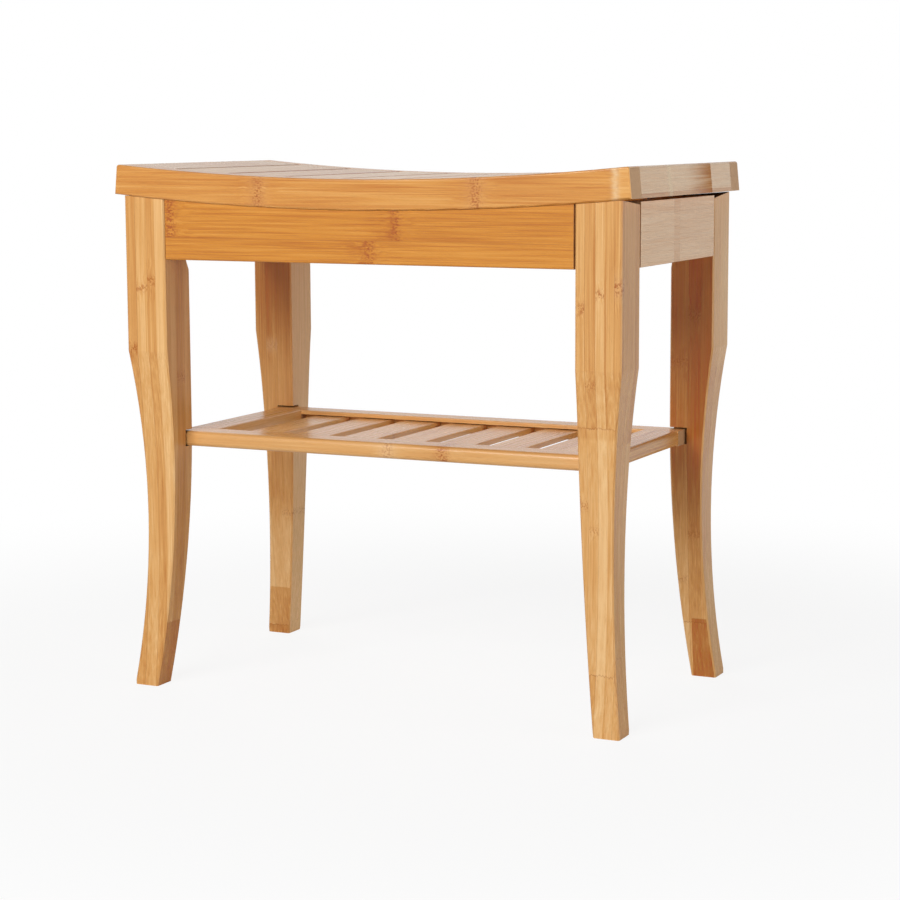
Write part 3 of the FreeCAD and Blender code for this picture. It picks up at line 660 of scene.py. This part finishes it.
# The end rails take the paler colours, which hold painted sheen, and their tops are drawn deeper, so that
# the painted sheen shows on the sides only
END_RAIL = Stock(
    grain=Y, layers_on=Z, layers=(428.5,), shades=(0.36,), accents=((0, None, 0.7),),
    faces=(FaceToneAndShade(Z, 1.0, 0.4),), palette=PALE_AND_SHEEN, spread=0.15, gloss=0.75, relief=0.05)
SEAT_SLAT = Stock(grain=Y, layers_on=Z, streaks=0.5, gloss=0.43, relief=0.02, knuckle_gap=230.0)
# the shelf rails' ends, in the legs' notches, get a little painted shade
SHELF_RAIL = Stock(grain=X, layers_on=Z, streaks=0.6, end_shade=0.22, knuckle_gap=210.0)
SHELF_END = Stock(grain=Y, layers_on=Z, knuckle_gap=240.0)
SHELF_SLAT = Stock(grain=Y, layers_on=Z, knuckle_gap=230.0)
BRACE = Stock(grain=X, layers_on=Z, knuckle_gap=150.0)
KEY = Stock(grain=Z, layers_on=Y, knuckle_gap=150.0)

# The pieces that the photograph shows closely, and others with a finish of their own
FINISHES = {
    "leg_front_left": replace(
        LEG, seed=1.0, gloss=0.25, layers=(-111.4, -98.0), strips=(-216.0, -205.0, -196.7),
        shades=(0.66, 0.36, 0.72, 0.34),
        # painted shade: the inner, right-facing side is drawn deeper, as it lies in shade under the seat
        faces=(FaceToneAndShade(X, 1.0, 0.25),),
        knuckles=(
            Knuckle(345.6, strip=1, layer=0, dark=0.55, shade=0.1),
            Knuckle(352.0, strip=2, layer=0, width=4.5, dark=0.6, shade=0.35),
            Knuckle(294.0, strip=0, width=5.0, dark=0.7, shade=0.35),
            Knuckle(268.7, strip=3, layer=1, dark=0.6),
        )),
    "leg_front_right": replace(
        LEG, seed=2.0, layers=(-121.3, -106.2, -97.2), strips=(195.1, 204.1, 211.7, 213.2, 219.6),
        shades=(0.62, 0.56, 0.34, 0.66, 0.42, 0.58), accents=((1, 2, -0.1),),
        # painted shade on the right side above 150 mm, and painted light on the front below 236 mm
        faces=(
            FaceToneAndShade(X, 1.0, 0.12, span=(90.0, 150.0)),
            FaceToneAndShade(Y, -1.0, -0.14, span=(240.0, 236.0)),
        ),
        knuckles=(
            Knuckle(357.0, strip=5, layer=0, width=5.5, dark=0.8, pale=0.2, shade=0.2),
            Knuckle(351.2, strip=2, layer=0, width=4.0, dark=0.7),
            Knuckle(339.9, strip=0, layer=0, width=4.5, dark=0.65, shade=0.2),
            Knuckle(280.0, strip=1, width=3.0, dark=0.5),
            Knuckle(184.3, strip=0, width=4.0, dark=0.5),
            Knuckle(164.3, strip=1, width=3.0, dark=0.4),
        )),
    "leg_back_right": replace(
        LEG, seed=3.0, layers=(97.85, 104.9, 116.0), strips=(203.6, 215.0), shades=(0.36, 0.64, 0.46),
        # painted shade on the front from 80 mm up, full above 220 mm, under the shelf, seat and apron; a
        # deeper patch of the wood at the foot; on the right side, painted shade below 265 mm and painted
        # light below 70 mm
        faces=(
            FaceToneAndShade(Y, -1.0, 0.66, span=(80.0, 220.0)),
            FaceToneAndShade(Y, -1.0, 0.6, span=(53.5, 52.5), beyond=205.5),
            FaceToneAndShade(X, 1.0, 0.3, span=(290.0, 265.0)),
            FaceToneAndShade(X, 1.0, -0.3, span=(130.0, 70.0)),
        ),
        knuckles=(
            Knuckle(320.0, strip=1, width=5.0, dark=0.6, shade=-0.5),
            Knuckle(279.3, strip=0, width=5.0, dark=0.5),
            Knuckle(129.0, strip=1, width=4.0, dark=0.4),
            Knuckle(88.0, strip=0, width=3.0, dark=0.4),
        )),
    "leg_back_left": replace(
        LEG, seed=4.0, layers=(103.0, 114.0), strips=(-214.0, -202.0), shades=(0.68, 0.72, 0.58),
        # painted shade on the front from 240 mm up, full above 340 mm, under the apron and seat; painted
        # light on the inner right side and on the front below 140 mm; the front is deeper below 46 mm
        faces=(
            FaceToneAndShade(Y, -1.0, 0.5, span=(240.0, 340.0)),
            FaceToneAndShade(X, 1.0, -0.8),
            FaceToneAndShade(Y, -1.0, -0.35, span=(140.0, 105.0)),
            FaceToneAndShade(Y, -1.0, 0.42, span=(46.5, 45.5)),
        ),
        knuckles=(
            Knuckle(278.0, strip=1, dark=0.25, pale=0.35),
            Knuckle(120.0, strip=2, dark=0.35),
        )),
    "apron_front": replace(
        LONG_APRON, seed=5.0,
        knuckles=(
            Knuckle(-181.0, strip=1, width=6.5, dark=0.9, shade=0.2),
            Knuckle(31.3, strip=1, width=5.0, dark=0.9, shade=0.5),
            Knuckle(6.9, strip=0, width=6.5, dark=0.9, shade=0.5),
        )),
    "apron_back": replace(LONG_APRON, seed=6.0, knuckle_gap=230.0),
    "apron_left": replace(SIDE_APRON, seed=7.0, knuckle_gap=260.0),
    "apron_right": replace(SIDE_APRON, seed=8.0, joints=((-11.0, 0.3), (3.0, -0.24))),
    "seat_rail_front": replace(
        SEAT_RAIL, seed=9.0, joints=((223.5, -0.2),),
        knuckles=(
            Knuckle(-94.4, width=5.0, dark=0.8, pale=0.12, shade=0.2),
            Knuckle(103.0, width=5.0, dark=0.8, pale=0.12, shade=0.2),
            # a pale speckled band near the right corner: a node's pale ground, and a painted highlight of
            # the rounded corner
            Knuckle(221.0, width=1.6, dark=0.1, pale=0.9),
        )),
    "seat_rail_back": replace(SEAT_RAIL, seed=10.0, knuckle_gap=210.0),
    "seat_end_rail_left": replace(
        END_RAIL, seed=11.0, gloss=0.5, relief=0.02,
        joints=((-106.0, 0.0), (-30.0, 0.2), (66.0, -0.3), (106.0, 0.0))),
    "seat_end_rail_right": replace(
        END_RAIL, seed=12.0, worn=(-15.0, 57.6),
        joints=((-106.0, 0.0), (-46.0, -0.1), (57.6, 0.0), (106.0, 0.0)),
        knuckles=(Knuckle(-41.0, width=2.5, dark=0.0, pale=0.9),)),
    "seat_tenons": replace(KEY, seed=13.0),
    "shelf_rail_front": replace(
        SHELF_RAIL, seed=14.0, knuckle_gap=0.0,
        knuckles=(
            Knuckle(7.2, width=5.0, dark=0.5, pale=0.5),
            Knuckle(57.8, width=6.0, dark=0.8, shade=0.4),
        )),
}

# Pieces of which there are several alike, by how their names start
FAMILIES = {
    "seat_slat": SEAT_SLAT,
    "shelf_rail": SHELF_RAIL,
    "shelf_end_rail": SHELF_END,
    "shelf_slat": SHELF_SLAT,
    "corner_brace": BRACE,
}
FAMILY_SEED = 20.0
FAMILY_GLUE_OFFSET = 6.0        # how far a glue line may be off the middle, in millimetres
FAMILY_GLUE_TURN = 2.4

STEEL_NODES = ("hanger_bolts", "bolt_washers", "bolt_nuts")


def family_stock(name, number):
    """The stock of one of several pieces alike, with its own seed and glue line."""
    family = next(start for start in FAMILIES if name.startswith(start))
    stock = FAMILIES[family]
    low, high = [corner[stock.strips_on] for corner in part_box(name)]
    middle = (low + high) / 2 * MILLIMETRES
    glue = middle + FAMILY_GLUE_OFFSET * math.sin(number * FAMILY_GLUE_TURN)
    # the seat slats' edges, along which the shade of the gaps between them is painted in
    gap_shade_edges = (low * MILLIMETRES, high * MILLIMETRES) if family == "seat_slat" else ()
    return replace(stock, seed=FAMILY_SEED + number, strips=(glue,), gap_shade_edges=gap_shade_edges)


def dress_nodes():
    """Give every piece its own finish."""
    steel = zinc_steel("zinc_steel_plate")
    for number, (name, node) in enumerate(sorted(NODES.items())):
        if name in STEEL_NODES:
            material = steel
        else:
            stock = FINISHES[name] if name in FINISHES else family_stock(name, number)
            material = bamboo("bamboo_" + name, stock)
        node.material_slots[0].material = material


def build_stage():
    """A pale floor that curves up into a white backdrop."""
    profile = [(FLOOR_FRONT, 0.0)]
    for step in range(SWEEP_STEPS + 1):
        angle = 0.5 * math.pi * step / SWEEP_STEPS
        profile.append((FLOOR_BACK + SWEEP_RADIUS * math.sin(angle), SWEEP_RADIUS * (1 - math.cos(angle))))
    profile.append((FLOOR_BACK + SWEEP_RADIUS, WALL_HEIGHT))
    points = [(x, y, z) for y, z in profile for x in (-FLOOR_HALF_WIDTH, FLOOR_HALF_WIDTH)]
    faces = [(2 * n, 2 * n + 1, 2 * n + 3, 2 * n + 2) for n in range(len(profile) - 1)]
    mesh = bpy.data.meshes.new("studio_floor")
    mesh.from_pydata(points, [], faces)
    mesh.shade_smooth()
    mesh.materials.append(studio_paper("studio_paper"))
    floor = bpy.data.objects.new("studio_floor", mesh)
    bpy.context.scene.collection.objects.link(floor)


def studio_paper(name):
    """Paper that takes the bench's shadow, and is white to the eye and in reflections further off."""
    g = Graph(name)
    coordinates = g.node("ShaderNodeTexCoord")
    distance = g.node("ShaderNodeVectorMath", operation="LENGTH")
    g.feed(distance.inputs[0], coordinates.outputs["Object"])
    far = g.rise(distance.outputs["Value"], FAR_GLOW_FROM, FAR_GLOW_TO)
    path = g.node("ShaderNodeLightPath")
    seen = Field(g, path.outputs["Is Camera Ray"]) * (far * (1.0 - NEAR_GLOW) + NEAR_GLOW)
    mirrored = Field(g, path.outputs["Is Glossy Ray"]) * g.math("MAXIMUM", far, NEAR_MIRROR)
    paper = g.node("ShaderNodeBsdfDiffuse")
    paper.inputs["Color"].default_value = FLOOR_COLOUR
    white = g.node("ShaderNodeEmission")
    mixed = g.node("ShaderNodeMixShader")
    sources = (g.math("MAXIMUM", seen, mirrored), paper.outputs[0], white.outputs[0])
    for socket, source in zip(mixed.inputs, sources):
        g.feed(socket, source)
    return g.finish(mixed.outputs[0])


def build_world():
    """White all round to the eye and in reflections, and a low even light on the object."""
    world = bpy.data.worlds.new("studio_world")
    world.use_nodes = True
    bpy.context.scene.world = world
    tree = world.node_tree
    background = tree.nodes["Background"]
    background.inputs["Color"].default_value = WHITE
    path = tree.nodes.new("ShaderNodeLightPath")
    shown = None
    for ray in ("Is Camera Ray", "Is Glossy Ray", "Is Transmission Ray"):
        top = tree.nodes.new("ShaderNodeMath")
        top.operation = "MAXIMUM"
        tree.links.new(path.outputs[ray], top.inputs[0])
        if shown:
            tree.links.new(shown, top.inputs[1])
        else:
            top.inputs[1].default_value = WORLD_AMBIENT
        shown = top.outputs[0]
    tree.links.new(shown, background.inputs["Strength"])


def direction(turn, rise):
    """The way to a point that lies so far round from the front towards the right, and so far up."""
    return Vector((math.sin(turn) * math.cos(rise), -math.cos(turn) * math.cos(rise), math.sin(rise)))


def build_lamps():
    """Softboxes round the bench."""
    for name, lamp in LAMPS.items():
        way = direction(math.radians(lamp.turn), math.radians(lamp.rise))
        light = bpy.data.lights.new(name, "AREA")
        light.shape = "RECTANGLE"
        light.size = lamp.width
        light.size_y = lamp.height
        light.energy = lamp.watts
        holder = bpy.data.objects.new(name, light)
        holder.location = AIM + way * lamp.distance
        holder.rotation_euler = way.to_track_quat("Z", "Y").to_euler()
        holder.visible_glossy = lamp.mirrored
        holder.visible_camera = False
        bpy.context.scene.collection.objects.link(holder)


def build_camera():
    """A camera that sees the bench as the photograph does."""
    back = direction(CAMERA_YAW, CAMERA_PITCH)
    level = Vector((math.cos(CAMERA_YAW), math.sin(CAMERA_YAW), 0.0))
    upright = back.cross(level)
    right = level * math.cos(CAMERA_ROLL) + upright * math.sin(CAMERA_ROLL)
    up = upright * math.cos(CAMERA_ROLL) - level * math.sin(CAMERA_ROLL)
    camera = bpy.data.cameras.new("photo_camera")
    camera.sensor_width = SENSOR_WIDTH
    camera.lens = FOCAL_PIXELS * SENSOR_WIDTH / IMAGE_PIXELS
    holder = bpy.data.objects.new("photo_camera", camera)
    turn = Matrix((right, up, back)).transposed().to_4x4()
    holder.matrix_world = Matrix.Translation(CAMERA_TARGET + back * CAMERA_DISTANCE) @ turn
    bpy.context.scene.collection.objects.link(holder)
    bpy.context.scene.camera = holder


dress_nodes()
build_stage()
build_world()
build_lamps()
build_camera()
bpy.context.scene.view_settings.view_transform = "Standard"
